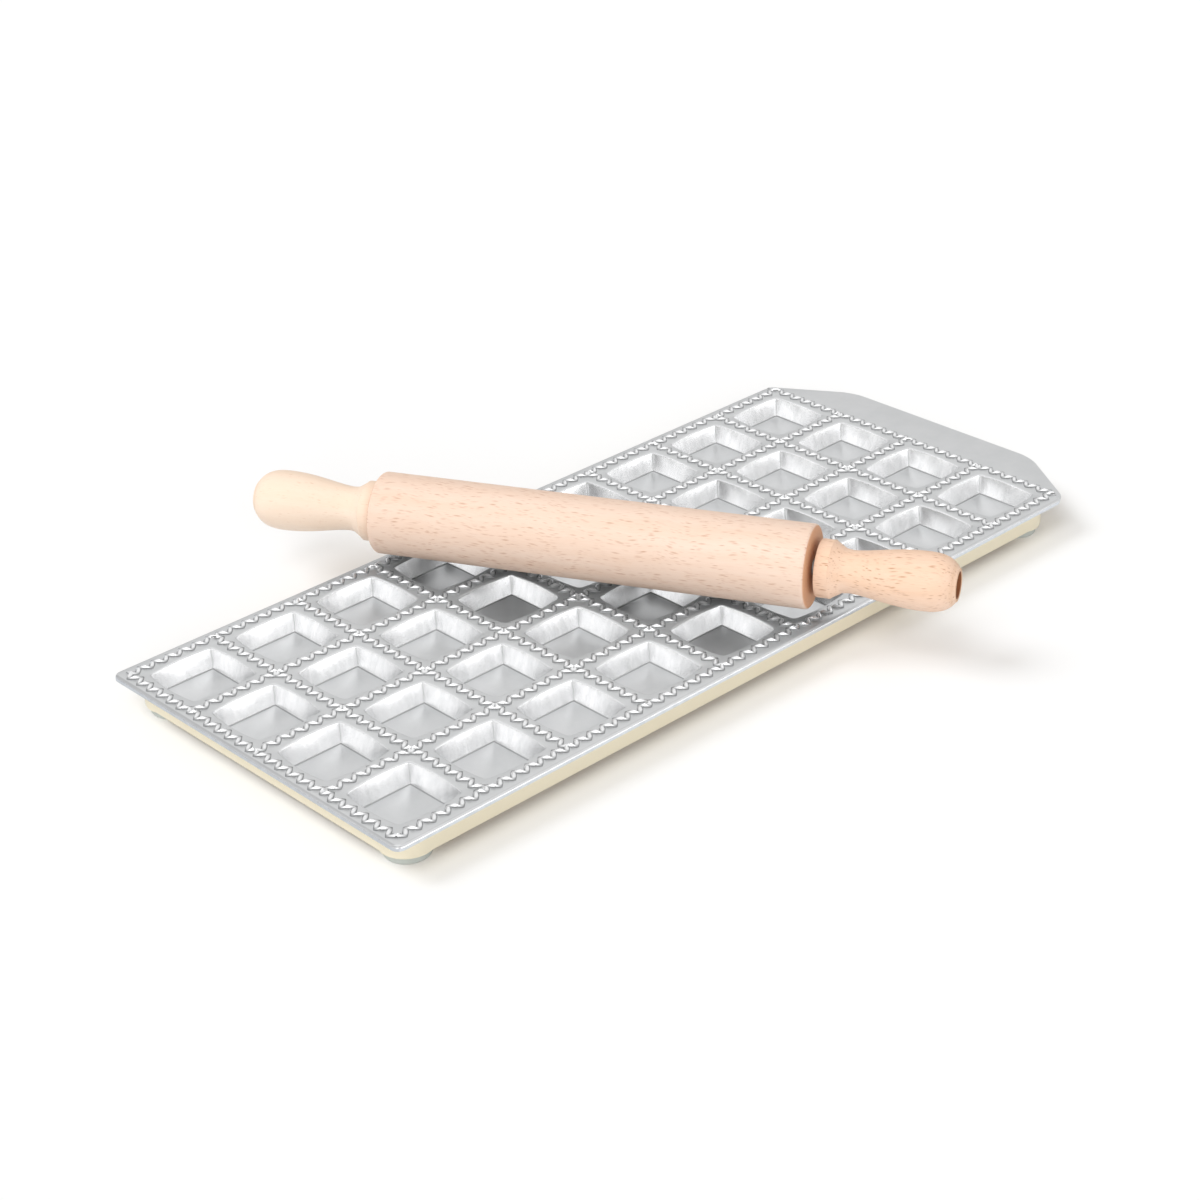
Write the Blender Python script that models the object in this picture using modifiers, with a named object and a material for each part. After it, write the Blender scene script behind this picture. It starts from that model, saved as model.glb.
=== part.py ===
"""Ravioli mould with its rolling pin.

A pressed aluminium die plate of 36 square pockets, bordered by zigzag cutting ridges, lies on a shallow
plastic frame with four rubber feet. A beech rolling pin with loose handles lies across it.
Metres, +Z up, +X along the plate towards its grip tab, origin under the middle of the bounding box.
"""

import math

import bmesh
import bpy
from mathutils import Matrix, Vector

MM = 0.001

# Fits
SEAT_GAP = 0.3 * MM
POCKET_ROOM = 0.5 * MM

# Cells of the die plate
CELL = 33.0 * MM
CELLS_LONG = 9
CELLS_WIDE = 4

# Die plate
SHEET = 0.9 * MM
END_MARGIN = 3.6 * MM
SIDE_MARGIN = 4.7 * MM
PLATE_CORNER = 3.0 * MM
LIP_ROLL = 1.3 * MM
LIP_DROP = 1.8 * MM
TAB_START = 0.4 * MM
TAB_FADE = 1.6 * MM
TAB_REACH = 18.4 * MM
TAB_WIDTH = 85.0 * MM
TAB_CORNER = 9.0 * MM

# Pockets
POCKET_MOUTH = 24.2 * MM
POCKET_FLOOR = 21.0 * MM
POCKET_DEPTH = 6.8 * MM
POCKET_MOUTH_CORNER = 2.4 * MM
POCKET_FLOOR_CORNER = 0.6 * MM

# Zigzag cutting ridges
RIDGE_HEIGHT = 1.2 * MM
RIDGE_WIDTH = 2.0 * MM
RIDGE_ROOT = 0.4 * MM
RIDGE_SWING = 2.64 * MM
RIDGE_TEETH = 11
CROSS_RIDGE_LOWER = 0.04 * MM

# Plastic frame under the plate
SKIRT_END_ROOM = 0.4 * MM
SKIRT_SIDE_ROOM = 2.1 * MM
SKIRT_CORNER = 8.0 * MM
SKIRT_WALL = 2.0 * MM
SKIRT_EDGE = 0.7 * MM
FLANGE = 1.2 * MM
FLANGE_SETDOWN = 0.15 * MM
LIP_ROOM = 0.6 * MM
PAD = 2.0 * MM
PAD_RIM = 1.0 * MM

# Rubber feet
FOOT_DIAMETER = 14.6 * MM
FOOT_STAND = 2.9 * MM
FOOT_SINK = 1.0 * MM
FOOT_EDGE = 0.5 * MM

# Rolling pin: where its middle lies over the plate, and how far it is turned from the plate's width
PIN_ALONG = -5.1 * MM
PIN_ACROSS = 5.0 * MM
PIN_TURN = math.radians(27.7)
BARREL_DIAMETER = 27.8 * MM
BARREL_LENGTH = 150.4 * MM
BARREL_EDGE = 1.2 * MM
HANDLE_PLAY = 2.0 * MM

# Handles. The left one is turned a little stouter than these sizes, and the right one a little slimmer.
COLLAR_DIAMETER = 19.8 * MM
COLLAR_LENGTH = 4.8 * MM
COLLAR_EDGE = 0.5 * MM
COLLAR_SLOPE = 3.4 * MM
COLLAR_FOOT_DIAMETER = 15.0 * MM
NECK_DIAMETER = 14.5 * MM
NECK_AT = 10.5 * MM
BELLY_DIAMETER = 19.9 * MM
BELLY_SWELL = 0.8
NOSE_LENGTH = 10.7 * MM
NOSE_BLUNT = 5.0 * MM
HANDLE_LENGTH = 45.2 * MM
LEFT_GIRTH = 1.03
RIGHT_GIRTH = 0.965

# Axle rod, washers and nuts
ROD_DIAMETER = 5.0 * MM
THREAD_DIAMETER = 4.0 * MM
THREAD_SPARE = 1.0 * MM
RECESS_DIAMETER = 8.8 * MM
RECESS_DEPTH = 9.0 * MM
RECESS_RIM = 0.4 * MM
WASHER_DIAMETER = 8.0 * MM
WASHER_THICKNESS = 0.8 * MM
NUT_FLATS = 7.0 * MM
NUT_HEIGHT = 3.0 * MM

# Heights above the surface that the feet stand on
skirt_bottom = FOOT_STAND
pad_top = skirt_bottom + PAD
pocket_underside = pad_top + POCKET_ROOM
plate_face = pocket_underside + SHEET + POCKET_DEPTH
frame_top = plate_face - SHEET - SEAT_GAP
ridge_top = plate_face + RIDGE_HEIGHT
pin_height = ridge_top + SEAT_GAP + BARREL_DIAMETER / 2

# Half sizes in plan, measured from the middle of the grid of cells
grid_x = CELLS_LONG * CELL / 2
grid_y = CELLS_WIDE * CELL / 2
plate_x = grid_x + END_MARGIN
plate_y = grid_y + SIDE_MARGIN
cup_reach = POCKET_MOUTH / 2 + SHEET - CELL / 2
skirt_x = grid_x + cup_reach + SKIRT_END_ROOM + SKIRT_WALL
skirt_y = grid_y + cup_reach + SKIRT_SIDE_ROOM + SKIRT_WALL
pad_radius = FOOT_DIAMETER / 2 + SEAT_GAP + PAD_RIM
foot_x = skirt_x - pad_radius
foot_y = skirt_y - pad_radius

# Places along the pin, measured from the middle of its barrel
left_handle_at = BARREL_LENGTH / 2 + SEAT_GAP
right_handle_at = BARREL_LENGTH / 2 + HANDLE_PLAY
belly_at = HANDLE_LENGTH - NOSE_LENGTH
seat_depth = HANDLE_LENGTH - RECESS_DEPTH
stack_height = SEAT_GAP + WASHER_THICKNESS + SEAT_GAP + NUT_HEIGHT + THREAD_SPARE
end_face_radius = RECESS_DIAMETER / 2 + RECESS_RIM

# Fineness of the meshes
TURN_SIDES = 32
ROD_SIDES = 20
FASTENER_SIDES = 24
CORNER_STEPS = 5
POCKET_CORNER_STEPS = 2
LIP_STEPS = 3
BARREL_EDGE_STEPS = 3
BELLY_STEPS = 6
NOSE_STEPS = 5
WELD = 0.01 * MM
MITRE_LIMIT = 0.3


def clear_scene():
    for thing in list(bpy.data.objects):
        bpy.data.objects.remove(thing)


def new_collection(name, hidden=False):
    made = bpy.data.collections.new(name)
    bpy.context.scene.collection.children.link(made)
    made.hide_render = hidden
    return made


def material(name, colour, roughness, metallic=0.0):
    made = bpy.data.materials.new(name)
    made.use_nodes = True
    shader = made.node_tree.nodes["Principled BSDF"]
    shader.inputs["Base Color"].default_value = (*colour, 1.0)
    shader.inputs["Roughness"].default_value = roughness
    shader.inputs["Metallic"].default_value = metallic
    return made


def add_object(name, mesh, collection, finish=None, parent=None):
    made = bpy.data.objects.new(name, mesh)
    collection.objects.link(made)
    if finish:
        mesh.materials.append(finish)
    made.parent = parent
    return made


def add_cutter(name, mesh, parent=None):
    made = add_object(name, mesh, cutters, parent=parent)
    made.hide_render = True
    made.display_type = "WIRE"
    return made


def mesh_from(bm, name):
    bmesh.ops.recalc_face_normals(bm, faces=bm.faces)
    mesh = bpy.data.meshes.new(name)
    bm.to_mesh(mesh)
    bm.free()
    return mesh


def rounded_outline(corners, steps):
    """A closed outline, counter-clockwise, from corners given as (x, y, fillet radius)."""
    points = []
    for index, (x, y, radius) in enumerate(corners):
        here = Vector((x, y))
        before = (Vector(corners[index - 1][:2]) - here).normalized()
        after = (Vector(corners[(index + 1) % len(corners)][:2]) - here).normalized()
        half_angle = before.angle(after) / 2
        centre = here + (before + after).normalized() * radius / math.sin(half_angle)
        reach = radius / math.tan(half_angle)
        first = here + before * reach - centre
        last = here + after * reach - centre
        for step in range(steps + 1):
            share = step / steps
            points.append(centre + first.slerp(last, share) * radius)
    return points


def rectangle(half_x, half_y, radius, steps=CORNER_STEPS):
    corners = [(-half_x, -half_y), (half_x, -half_y), (half_x, half_y), (-half_x, half_y)]
    return rounded_outline([(x, y, radius) for x, y in corners], steps)


def inset_outline(points, distance):
    """The same outline moved inwards, point by point along the mitre of its two edges."""
    moved = []
    for index, point in enumerate(points):
        into = (point - points[index - 1]).normalized()
        out = (points[(index + 1) % len(points)] - point).normalized()
        inward = Vector((-into.y - out.y, into.x + out.x)).normalized()
        moved.append(point + inward * distance / max(inward.dot(Vector((-out.y, out.x))), MITRE_LIMIT))
    return moved


def loft(bm, loops):
    """Skins loops of as many points each, and caps the first and the last."""
    rings = [[bm.verts.new(point) for point in loop] for loop in loops]
    for lower, upper in zip(rings, rings[1:]):
        for index in range(len(lower)):
            after = (index + 1) % len(lower)
            bm.faces.new((lower[index], lower[after], upper[after], upper[index]))
    bm.faces.new(rings[0][::-1])
    bm.faces.new(rings[-1])


def at_height(points, height, shift=(0.0, 0.0)):
    return [(point.x + shift[0], point.y + shift[1], height) for point in points]


def prism(name, outline, bottom, top):
    bm = bmesh.new()
    loft(bm, [at_height(outline, bottom), at_height(outline, top)])
    return mesh_from(bm, name)


def add_cylinder(bm, sides, radius, depth, middle):
    bmesh.ops.create_cone(
        bm, cap_ends=True, segments=sides, radius1=radius, radius2=radius, depth=depth, matrix=middle
    )


def disc(name, radius, bottom, top, places, sides=TURN_SIDES):
    """One upright cylinder at each place, all in one mesh."""
    bm = bmesh.new()
    for x, y in places:
        add_cylinder(bm, sides, radius, top - bottom, Matrix.Translation((x, y, (bottom + top) / 2)))
    return mesh_from(bm, name)


def add_boolean(target, operation, cutter):
    change = target.modifiers.new(operation.title(), "BOOLEAN")
    change.operation = operation
    change.solver = "EXACT"
    if isinstance(cutter, bpy.types.Collection):
        change.operand_type = "COLLECTION"
        change.collection = cutter
    else:
        change.object = cutter


def turned(name, profile, collection, finish, parent, sides=TURN_SIDES):
    """A closed (radius, height) profile turned about the pin's axis."""
    bm = bmesh.new()
    verts = [bm.verts.new((radius, 0.0, height)) for radius, height in profile]
    for index, vert in enumerate(verts):
        bm.edges.new((vert, verts[(index + 1) % len(verts)]))
    mesh = bpy.data.meshes.new(name)
    bm.to_mesh(mesh)
    bm.free()
    made = add_object(name, mesh, collection, finish, parent)
    screw = made.modifiers.new("Turn", "SCREW")
    screw.axis = "Z"
    screw.steps = sides
    screw.render_steps = sides
    screw.use_merge_vertices = True
    screw.merge_threshold = WELD
    screw.use_normal_calculate = False
    return made


# Die plate


def plate_outline():
    near_tab = (grid_x + TAB_START, plate_y, PLATE_CORNER)
    tab_corner = (grid_x + TAB_REACH, TAB_WIDTH / 2, TAB_CORNER)
    corners = [
        (-plate_x, -plate_y, PLATE_CORNER),
        (near_tab[0], -near_tab[1], near_tab[2]),
        (tab_corner[0], -tab_corner[1], tab_corner[2]),
        tab_corner,
        near_tab,
        (-plate_x, plate_y, PLATE_CORNER),
    ]
    return rounded_outline(corners, CORNER_STEPS)


def sheet_mesh():
    """The flat sheet, its edge rolled down on all sides but the tab's, where the roll fades out."""
    outline = plate_outline()
    shares = [min(max((grid_x + TAB_FADE - edge.x) / (2 * TAB_FADE), 0.0), 1.0) for edge in outline]
    inner_roll = LIP_ROLL - SHEET
    quarter = [math.pi / 2 * step / LIP_STEPS for step in range(LIP_STEPS + 1)]

    def ring(inset, depths):
        points = inset_outline(outline, inset)
        return [(point.x, point.y, plate_face - depth) for point, depth in zip(points, depths)]

    loops = []
    for angle in quarter:
        depths = [SHEET + inner_roll * (1 - math.cos(angle)) * share for share in shares]
        loops.append(ring(SHEET + inner_roll * (1 - math.sin(angle)), depths))
    lowest = [max(SHEET + inner_roll * share, LIP_DROP * share) for share in shares]
    loops.append(ring(SHEET, lowest))
    loops.append(ring(0.0, lowest))
    for angle in reversed(quarter):
        depths = [LIP_ROLL * (1 - math.cos(angle)) * share for share in shares]
        loops.append(ring(LIP_ROLL * (1 - math.sin(angle)), depths))
    bm = bmesh.new()
    loft(bm, loops)
    bmesh.ops.remove_doubles(bm, verts=bm.verts, dist=WELD)
    bmesh.ops.triangulate(bm, faces=bm.faces)
    return mesh_from(bm, "die_plate")


def cell_centres():
    for column in range(CELLS_LONG):
        for row in range(CELLS_WIDE):
            yield CELL * (column + 0.5) - grid_x, CELL * (row + 0.5) - grid_y


def square_loop(width, corner, height, shift):
    return at_height(rectangle(width / 2, width / 2, corner, POCKET_CORNER_STEPS), height, shift)


def pocket_mesh():
    """The hollow of every pocket, reaching above the plate's face."""
    floor = plate_face - POCKET_DEPTH
    bm = bmesh.new()
    for centre in cell_centres():
        mouth = [
            square_loop(POCKET_MOUTH, POCKET_MOUTH_CORNER, height, centre)
            for height in (plate_face + RIDGE_HEIGHT, plate_face)
        ]
        loft(bm, [square_loop(POCKET_FLOOR, POCKET_FLOOR_CORNER, floor, centre), *mouth[::-1]])
    return mesh_from(bm, "pocket_hollows")


def cup_mesh():
    """The outside of every pocket, one sheet thickness out from its hollow."""
    wall = 2 * SHEET
    bm = bmesh.new()
    for centre in cell_centres():
        low = square_loop(POCKET_FLOOR + wall, POCKET_FLOOR_CORNER + SHEET, pocket_underside, centre)
        high = square_loop(
            POCKET_MOUTH + wall, POCKET_MOUTH_CORNER + SHEET, plate_face - SHEET / 2, centre
        )
        loft(bm, [low, high])
    return mesh_from(bm, "pocket_cups")


def zigzag(cells, line):
    """Places along a grid line and swings to its sides, with one short tooth at each crossing."""
    tooth = RIDGE_SWING
    reach = tooth * RIDGE_TEETH / 2
    crossing = CELL / 2 - reach
    places = []
    for cell in range(cells + 1):
        side = 1 if (cell + line) % 2 == 0 else -1
        at = cell * CELL - cells * CELL / 2
        places.append((at, side * (crossing - tooth / 2)))
        if cell < cells:
            for step in range(RIDGE_TEETH + 1):
                swing = -side * tooth / 2 * (-1) ** step
                places.append((at + crossing + step * tooth, swing))
    return places


def ridge_mesh(places, half_width, crest, root, along_x):
    """A wedge that follows a zigzag, its sections square to the grid line."""
    wide = half_width * (crest - root) / (crest - plate_face)
    loops = []
    for at, swing in places:
        section = ((swing - wide, root), (swing, crest), (swing + wide, root))
        loops.append([(at, side, z) if along_x else (side, at, z) for side, z in section])
    bm = bmesh.new()
    loft(bm, loops)
    return mesh_from(bm, "ridge")


def add_ridges(parent):
    slant = math.sqrt(2)
    for line in range(CELLS_WIDE + 1):
        mesh = ridge_mesh(
            zigzag(CELLS_LONG, line), RIDGE_WIDTH / 2 * slant, ridge_top, plate_face - RIDGE_ROOT, True
        )
        mesh.transform(Matrix.Translation((0.0, line * CELL - grid_y, 0.0)))
        link_ridge(f"long_ridge_{line}", mesh, parent)
    for line in range(CELLS_LONG + 1):
        crest = ridge_top - CROSS_RIDGE_LOWER
        root = plate_face - RIDGE_ROOT + CROSS_RIDGE_LOWER
        half_width = (RIDGE_WIDTH / 2 - CROSS_RIDGE_LOWER) * slant
        mesh = ridge_mesh(zigzag(CELLS_WIDE, line), half_width, crest, root, False)
        mesh.transform(Matrix.Translation((line * CELL - grid_x, 0.0, 0.0)))
        link_ridge(f"cross_ridge_{line}", mesh, parent)


def link_ridge(name, mesh, parent):
    made = add_object(name, mesh, ridges, parent=parent)
    made.hide_render = True
    made.display_type = "WIRE"


def make_die_plate(parent):
    plate = add_object("die_plate", sheet_mesh(), parts, aluminium, parent)
    add_ridges(parent)
    add_boolean(plate, "UNION", add_cutter("pocket_cups", cup_mesh(), parent))
    add_boolean(plate, "UNION", ridges)
    add_boolean(plate, "DIFFERENCE", add_cutter("pocket_hollows", pocket_mesh(), parent))


# Plastic frame and feet


def foot_places():
    return [(x, y) for x in (-foot_x, foot_x) for y in (-foot_y, foot_y)]


def make_base_frame(parent):
    """A shallow skirt with a flange under the plate's rolled edge and a pad for a foot in each corner."""
    bm = bmesh.new()
    outline = rectangle(skirt_x, skirt_y, SKIRT_CORNER)
    edge = inset_outline(outline, SKIRT_EDGE)
    loft(
        bm,
        [
            at_height(edge, skirt_bottom),
            at_height(outline, skirt_bottom + SKIRT_EDGE),
            at_height(outline, frame_top),
        ],
    )
    frame = add_object("base_frame", mesh_from(bm, "base_frame"), parts, ivory_plastic, parent)

    flange_setback = SHEET + LIP_ROOM
    flange_outline = rectangle(plate_x - flange_setback, plate_y - flange_setback, PLATE_CORNER)
    flange_mesh = prism("frame_flange", flange_outline, frame_top - FLANGE, frame_top - FLANGE_SETDOWN)
    flange = add_cutter("frame_flange", flange_mesh, parent)
    add_boolean(frame, "UNION", flange)

    inner = rectangle(skirt_x - SKIRT_WALL, skirt_y - SKIRT_WALL, SKIRT_CORNER - SKIRT_WALL)
    inside = add_cutter("frame_inside", prism("frame_inside", inner, 0.0, plate_face), parent)
    pads = add_cutter("foot_pads", disc("foot_pads", pad_radius, -PAD, pad_top, foot_places()), parent)
    add_boolean(inside, "DIFFERENCE", pads)
    add_boolean(frame, "DIFFERENCE", inside)

    seat_radius = FOOT_DIAMETER / 2 + SEAT_GAP
    seats = disc("foot_seats", seat_radius, 0.0, skirt_bottom + FOOT_SINK, foot_places())
    add_boolean(frame, "DIFFERENCE", add_cutter("foot_seats", seats, parent))


def make_feet(parent):
    radius = FOOT_DIAMETER / 2
    top = skirt_bottom + FOOT_SINK - SEAT_GAP
    profile = [
        (radius, top),
        (radius, FOOT_EDGE),
        (radius - FOOT_EDGE, 0.0),
        (0.0, 0.0),
        (0.0, top),
    ]
    for number, (x, y) in enumerate(foot_places(), start=1):
        foot = turned(f"foot_{number}", profile, parts, grey_rubber, parent)
        foot.location = (x, y, 0.0)


# Rolling pin


def make_barrel(parent):
    radius = BARREL_DIAMETER / 2
    half = BARREL_LENGTH / 2
    bore = ROD_DIAMETER / 2 + SEAT_GAP
    top = []
    for step in range(BARREL_EDGE_STEPS + 1):
        angle = math.pi / 2 * step / BARREL_EDGE_STEPS
        drop = BARREL_EDGE * (1 - math.sin(angle))
        top.append((radius - drop, half - BARREL_EDGE * (1 - math.cos(angle))))
    bottom = [(edge, -height) for edge, height in reversed(top)]
    turned("barrel", top + bottom + [(bore, -half), (bore, half)], parts, beech, parent)


def handle_radius(along):
    """Radius between the neck and the flat end, from the neck's hollow through the belly to the nose."""
    neck = NECK_DIAMETER / 2
    belly = BELLY_DIAMETER / 2
    if along < belly_at:
        share = ((along - NECK_AT) / (belly_at - NECK_AT)) ** BELLY_SWELL
        return neck + (belly - neck) * (1 - math.cos(math.pi * share)) / 2
    return belly * math.sqrt(1 - ((along - belly_at) / (NOSE_LENGTH + NOSE_BLUNT)) ** 2)


def handle_profile(girth):
    """(radius, distance from the collar's face), from the flat end back to the bore."""
    collar = COLLAR_DIAMETER / 2
    slope_end = COLLAR_LENGTH + COLLAR_SLOPE
    bore = ROD_DIAMETER / 2 + SEAT_GAP
    outside = [
        (collar - COLLAR_EDGE, 0.0),
        (collar, COLLAR_EDGE),
        (collar, COLLAR_LENGTH),
        (COLLAR_FOOT_DIAMETER / 2, slope_end),
    ]
    for step in range(BELLY_STEPS):
        along = NECK_AT + (belly_at - NECK_AT) * step / BELLY_STEPS
        outside.append((handle_radius(along), along))
    for step in range(NOSE_STEPS + 1):
        along = belly_at + NOSE_LENGTH * math.sin(math.pi / 2 * step / NOSE_STEPS)
        outside.append((handle_radius(along), along))
    outside = [(max(radius * girth, end_face_radius), along) for radius, along in outside]
    inside = [
        (bore, 0.0),
        (bore, seat_depth),
        (RECESS_DIAMETER / 2, seat_depth),
        (RECESS_DIAMETER / 2, HANDLE_LENGTH),
    ]
    return outside[::-1] + inside


def make_handle(name, girth, at, direction, parent):
    profile = [(radius, direction * (at + along)) for radius, along in handle_profile(girth)]
    turned(name, profile if direction > 0 else profile[::-1], parts, pale_beech, parent)


def make_axle_rod(parent):
    rod = ROD_DIAMETER / 2
    thread = THREAD_DIAMETER / 2
    left = left_handle_at + seat_depth
    right = right_handle_at + seat_depth
    profile = [
        (0.0, left + stack_height),
        (thread, left + stack_height),
        (thread, left),
        (rod, left),
        (rod, -right),
        (thread, -right),
        (thread, -right - stack_height),
        (0.0, -right - stack_height),
    ]
    turned("axle_rod", profile, parts, steel, parent, sides=ROD_SIDES)


def make_fasteners(side, at, direction, parent):
    """The washer on the recess's floor and the nut on the washer."""
    hole = THREAD_DIAMETER / 2 + SEAT_GAP
    washer_low = at + seat_depth + SEAT_GAP
    washer_high = washer_low + WASHER_THICKNESS
    nut_low = washer_high + SEAT_GAP
    nut_high = nut_low + NUT_HEIGHT
    washer = WASHER_DIAMETER / 2
    section = [(washer, washer_high), (washer, washer_low), (hole, washer_low), (hole, washer_high)]
    if direction < 0:
        section = [(radius, -height) for radius, height in section[::-1]]
    turned(f"washer_{side}", section, parts, steel, parent, sides=FASTENER_SIDES)

    corner = NUT_FLATS / math.sqrt(3)
    bm = bmesh.new()
    middle = Matrix.Translation((0.0, 0.0, direction * (nut_low + nut_high) / 2))
    add_cylinder(bm, 6, corner, NUT_HEIGHT, middle)
    nut = add_object(f"nut_{side}", mesh_from(bm, f"nut_{side}"), parts, steel, parent)
    bm = bmesh.new()
    add_cylinder(bm, FASTENER_SIDES, hole, 2 * NUT_HEIGHT, middle)
    add_boolean(nut, "DIFFERENCE", add_cutter(f"nut_hole_{side}", mesh_from(bm, "nut_hole"), parent))


def handle_reach(girth, at):
    """How far a handle's surface reaches across the plate's length, to either side of the pin's middle."""
    return max(
        (at + along) * math.cos(PIN_TURN) + radius * math.sin(PIN_TURN)
        for radius, along in handle_profile(girth)
    )


def box_middle():
    """The middle in plan of the plate's length and of the pin's reach across it."""
    far = PIN_ACROSS + handle_reach(LEFT_GIRTH, left_handle_at)
    near = PIN_ACROSS - handle_reach(RIGHT_GIRTH, right_handle_at)
    return (grid_x + TAB_REACH - plate_x) / 2, (far + near) / 2


def add_empty(name, location, rotation=(0.0, 0.0, 0.0), parent=None):
    empty = bpy.data.objects.new(name, None)
    parts.objects.link(empty)
    empty.location = location
    empty.rotation_euler = rotation
    empty.parent = parent
    return empty


clear_scene()
parts = new_collection("ravioli_mould")
cutters = new_collection("cutters", hidden=True)
ridges = new_collection("ridge_cutters", hidden=True)

aluminium = material("pressed aluminium", (0.80, 0.81, 0.82), 0.28, 1.0)
ivory_plastic = material("ivory plastic", (0.82, 0.76, 0.60), 0.45)
grey_rubber = material("grey rubber", (0.33, 0.36, 0.35), 0.75)
beech = material("beech", (0.80, 0.58, 0.42), 0.55)
pale_beech = material("pale beech", (0.83, 0.65, 0.45), 0.5)
steel = material("zinc plated steel", (0.62, 0.62, 0.60), 0.35, 1.0)

middle_x, middle_y = box_middle()
mould_place = add_empty("mould_place", (-middle_x, -middle_y, 0.0))
pin_place = add_empty(
    "pin_place",
    (PIN_ALONG, PIN_ACROSS, pin_height),
    (-math.pi / 2, 0.0, PIN_TURN),
    mould_place,
)

make_die_plate(mould_place)
make_base_frame(mould_place)
make_feet(mould_place)
make_barrel(pin_place)
make_handle("handle_left", LEFT_GIRTH, left_handle_at, 1, pin_place)
make_handle("handle_right", RIGHT_GIRTH, right_handle_at, -1, pin_place)
make_axle_rod(pin_place)
make_fasteners("left", left_handle_at, 1, pin_place)
make_fasteners("right", right_handle_at, -1, pin_place)
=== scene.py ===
# Ravioli mould and its rolling pin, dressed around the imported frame.
# In metres, with +Z up and +X along the plate towards its grip tab. The dictionaries are in millimetres.

import math

import bmesh
import bpy
from mathutils import Euler, Matrix, Vector


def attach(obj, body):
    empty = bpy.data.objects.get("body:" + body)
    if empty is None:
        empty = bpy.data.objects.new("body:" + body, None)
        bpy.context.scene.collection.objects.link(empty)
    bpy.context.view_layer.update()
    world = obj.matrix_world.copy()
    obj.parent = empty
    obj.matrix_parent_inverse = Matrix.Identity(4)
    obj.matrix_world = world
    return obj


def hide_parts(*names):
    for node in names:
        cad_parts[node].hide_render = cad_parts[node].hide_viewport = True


mm = 0.001

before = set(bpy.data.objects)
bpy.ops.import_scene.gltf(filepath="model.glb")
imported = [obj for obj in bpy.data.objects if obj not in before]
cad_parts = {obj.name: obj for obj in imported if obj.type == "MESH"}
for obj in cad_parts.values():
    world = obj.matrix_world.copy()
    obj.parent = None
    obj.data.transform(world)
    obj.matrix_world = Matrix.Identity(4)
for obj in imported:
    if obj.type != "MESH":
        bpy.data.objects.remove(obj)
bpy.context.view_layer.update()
print("frame loaded:", len(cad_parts), "nodes")

layout = {
    "mould": (-7.4, -4.3574, 0.0),
    "pin": (-12.5, 0.6426, 28.5),
    "pinTurn": 27.7,       # degrees from square across the plate
}
mouldPlace = Matrix.Translation(Vector(layout["mould"]) * mm)
pinTurned = Euler((-math.pi / 2, 0.0, math.radians(layout["pinTurn"])))
pinPlace = Matrix.Translation(Vector(layout["pin"]) * mm) @ pinTurned.to_matrix().to_4x4()


# Helpers


# Turns a mesh drawn in millimetres into metres, at its place.
def toPlace(bm, place):
    bmesh.ops.scale(bm, vec=(mm, mm, mm), verts=bm.verts)
    bmesh.ops.transform(bm, matrix=place, verts=bm.verts)


def addPiece(name, bm, place, body, node, finish, sharp=40.0):
    toPlace(bm, place)
    bmesh.ops.recalc_face_normals(bm, faces=bm.faces)
    mesh = bpy.data.meshes.new(name)
    bm.to_mesh(mesh)
    bm.free()
    mesh.materials.append(finish)
    mesh.polygons.foreach_set("use_smooth", [True] * len(mesh.polygons))
    mesh.set_sharp_from_angle(angle=math.radians(sharp))
    piece = bpy.data.objects.new(name, mesh)
    bpy.context.scene.collection.objects.link(piece)
    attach(piece, body)
    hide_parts(node)
    print(name, "built:", len(mesh.polygons), "faces")
    return piece


# A flat rectangle with rounded corners.
def roundedFace(bm, halfX, halfY, corner, height, segments=8):
    corners = ((-1, -1), (1, -1), (1, 1), (-1, 1))
    face = bm.faces.new([bm.verts.new((x * halfX, y * halfY, height)) for x, y in corners])
    bevelVerts(bm, face.verts, corner, segments)
    return next(iter(bm.faces))


# The vertices among what an extrusion made.
def vertsOf(made):
    return [g for g in made["geom"] if isinstance(g, bmesh.types.BMVert)]


def bevelVerts(bm, verts, radius, segments):
    bmesh.ops.bevel(
        bm,
        geom=list(verts),
        offset=radius,
        offset_type="OFFSET",
        affect="VERTICES",
        segments=segments,
        profile=0.5,
        material=-1,
    )


def bevelEdges(bm, edges, offset, segments, profile=0.5):
    return bmesh.ops.bevel(
        bm,
        geom=list(edges),
        offset=offset,
        offset_type="OFFSET",
        affect="EDGES",
        segments=segments,
        profile=profile,
        material=-1,
        clamp_overlap=True,
    )


# A (radius, height) profile spun a full turn about Z.
def spun(profile, steps, closed=True):
    bm = bmesh.new()
    verts = [bm.verts.new((radius, 0.0, height)) for radius, height in profile]
    edges = [bm.edges.new(pair) for pair in zip(verts, verts[1:])]
    if closed:
        edges.append(bm.edges.new((verts[-1], verts[0])))
    bmesh.ops.spin(
        bm,
        geom=verts + edges,
        cent=(0, 0, 0),
        axis=(0, 0, 1),
        angle=math.tau,
        steps=steps,
        use_merge=True,
    )
    bmesh.ops.remove_doubles(bm, verts=bm.verts, dist=1e-5)
    return bm


# The level edges of a turned piece that start at that radius.
def levelEdges(bm, radius):
    return [
        e for e in bm.edges
        if abs(Vector(e.verts[0].co.xy).length - radius) < 1e-3
        and abs(e.verts[0].co.z - e.verts[1].co.z) < 1e-4
    ]


# Materials


def newMaterial(name):
    made = bpy.data.materials.new(name)
    made.use_nodes = True
    return made, made.node_tree, made.node_tree.nodes["Principled BSDF"]


def addNode(tree, kind, x, y, **settings):
    node = tree.nodes.new(kind)
    node.location = (x, y)
    for name, value in settings.items():
        setattr(node, name, value)
    return node


def setInputs(node, **values):
    for name, value in values.items():
        node.inputs[name].default_value = value


# Joins one node's output to another's input.
def joiner(tree):
    def join(source, output, target, put):
        tree.links.new(source.outputs[output], target.inputs[put])
    return join


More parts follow.
